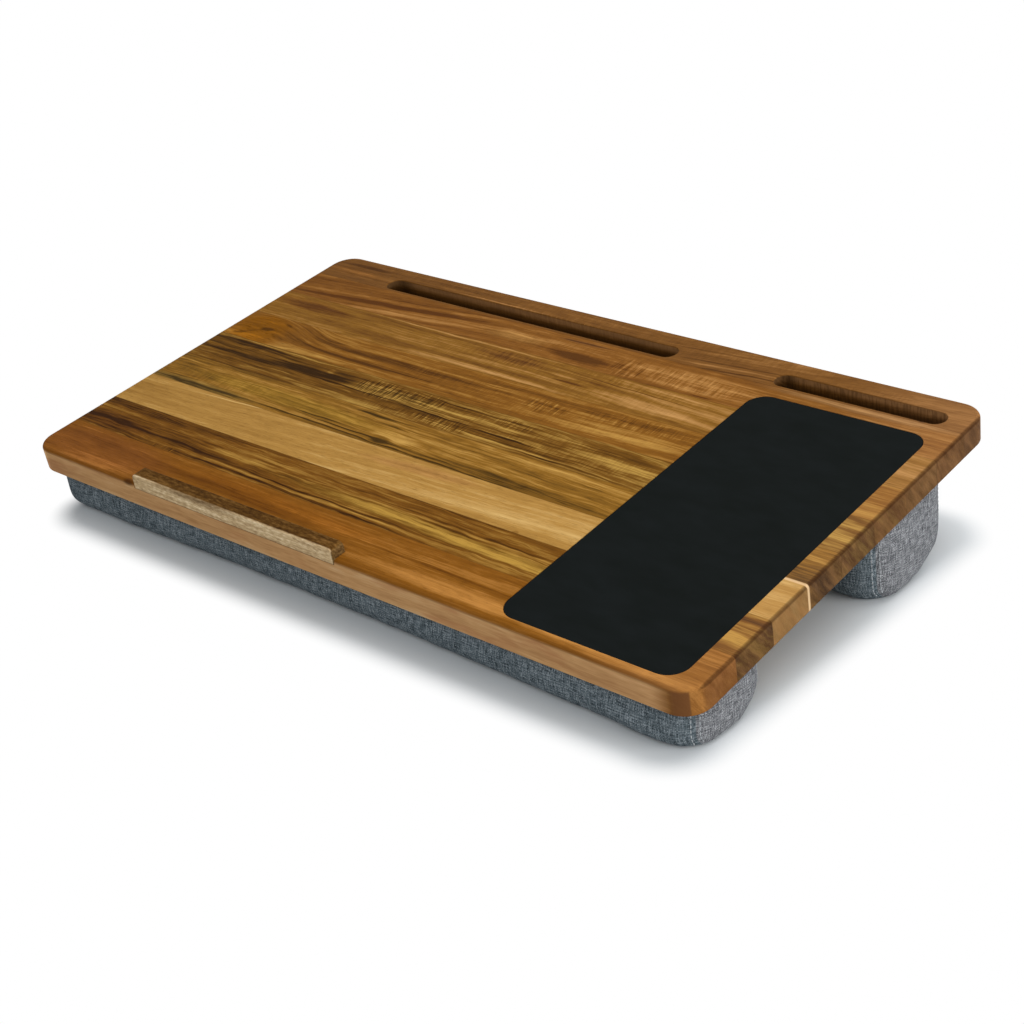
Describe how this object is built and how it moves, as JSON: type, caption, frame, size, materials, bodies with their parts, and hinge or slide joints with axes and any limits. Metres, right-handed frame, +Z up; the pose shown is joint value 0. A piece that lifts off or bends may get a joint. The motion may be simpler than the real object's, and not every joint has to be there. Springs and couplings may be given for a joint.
{
  "type": "lap desk",
  "caption": "Wooden lap desk on fabric bolsters, with a front device ledge, an inset mouse pad and blind slots for a tablet and a phone at the back.",
  "frame": {"origin": "on the floor, under the centre of the desk's bounding box", "axes": "+X along the board's length to the user's right, +Y away from the user towards the slots, +Z up; the board slopes up towards +Y"},
  "size_m": [0.536, 0.3052, 0.0827],
  "materials": {
    "acacia_1": "satin clear-oiled acacia, grain along X",
    "acacia_2": "satin clear-oiled acacia, grain along X",
    "acacia_3": "satin clear-oiled acacia, grain along X",
    "acacia_4": "satin clear-oiled acacia, grain along X",
    "acacia_5": "satin clear-oiled acacia, grain along X",
    "acacia_6": "satin clear-oiled acacia, grain along X",
    "acacia_7": "satin clear-oiled acacia, grain along X",
    "acacia_8": "satin clear-oiled acacia, grain along X",
    "acacia_9": "satin clear-oiled acacia, grain along X",
    "ledge_wood": "satin clear-oiled acacia, paler front edge",
    "pad_surface": "matt black, very fine texture",
    "adhesive": "matt adhesive film",
    "cloth_wrap": "slate grey melange plain weave",
    "cloth_ends": "grey melange plain weave",
    "foam": "open-cell cushion foam",
    "hardboard": "smooth hardboard",
    "staple_wire": "galvanised wire"
  },
  "bodies": {
    "root": {"stave_1": "acacia_1", "stave_2": "acacia_2", "stave_3": "acacia_3", "stave_4": "acacia_4", "stave_5": "acacia_5", "stave_6": "acacia_6", "stave_7": "acacia_7", "stave_8": "acacia_8", "stave_9": "acacia_9", "device_ledge": "ledge_wood", "mouse_pad": "pad_surface", "mouse_pad_adhesive": "adhesive", "front_bolster_wrap": "cloth_wrap", "front_bolster_end_cap_left": "cloth_ends", "front_bolster_end_cap_right": "cloth_ends", "front_bolster_foam": "foam", "front_bolster_backing": "hardboard", "front_bolster_tape": "adhesive", "front_bolster_staples": "staple_wire", "rear_bolster_wrap": "cloth_wrap", "rear_bolster_end_cap_left": "cloth_ends", "rear_bolster_end_cap_right": "cloth_ends", "rear_bolster_foam": "foam", "rear_bolster_backing": "hardboard", "rear_bolster_tape": "adhesive", "rear_bolster_staples": "staple_wire"}
  },
  "joints": []
}
